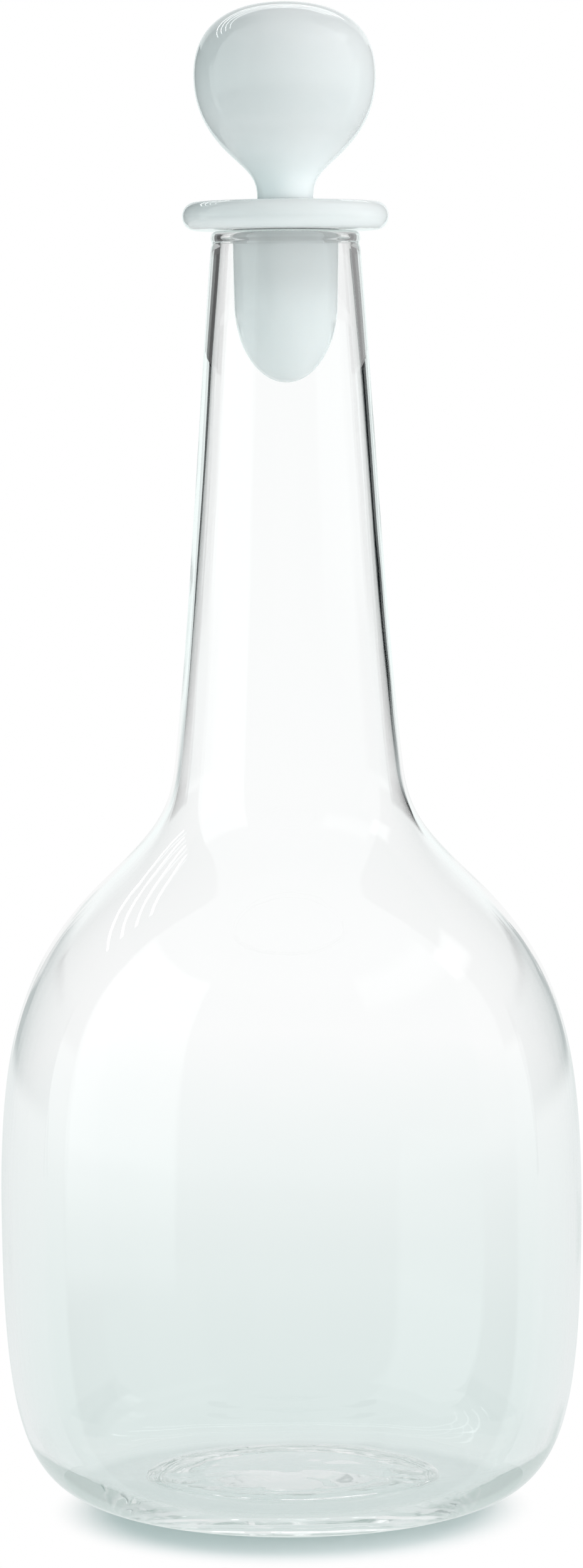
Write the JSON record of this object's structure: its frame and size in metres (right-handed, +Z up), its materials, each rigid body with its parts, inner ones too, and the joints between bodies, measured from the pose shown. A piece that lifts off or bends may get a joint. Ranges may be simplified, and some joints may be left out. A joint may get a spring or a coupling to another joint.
{
  "type": "glass decanter with stopper",
  "caption": "Round clear blown glass decanter with a tall tapering neck, closed by a lift-out white opal glass stopper that has a ball knob, a flange and a rounded plug.",
  "frame": {"origin": "centre of the base, on the surface that the bottle stands on", "axes": "+Z up along the bottle's axis of revolution, towards the knob; the bottle is round, so X and Y are free"},
  "size_m": [0.1192, 0.1192, 0.3053],
  "materials": {
    "clear_glass": "colourless blown soda-lime glass, fire-polished, with a faint cool grey-green tint where it is thick",
    "opal_glass": "solid white opal glass with a smooth gloss and a cool grey shade",
    "clear_silicone": "soft translucent silicone, satin"
  },
  "bodies": {
    "bottle": {"glass_body": "clear_glass"},
    "seal": {"seal_ring": "clear_silicone"},
    "stopper": {"stopper_flange": "opal_glass", "stopper_plug": "opal_glass", "stopper_knob": "opal_glass"}
  },
  "joints": [
    {"name": "stopper_lift", "type": "slide", "parent": "bottle", "child": "seal", "axis": [0, 0, 1], "range_m": [0, 0.06]},
    {"name": "stopper_turn", "type": "hinge", "parent": "seal", "child": "stopper", "pos_m": [0, 0, 0.2577], "axis": [0, 0, 1], "continuous": true}
  ]
}
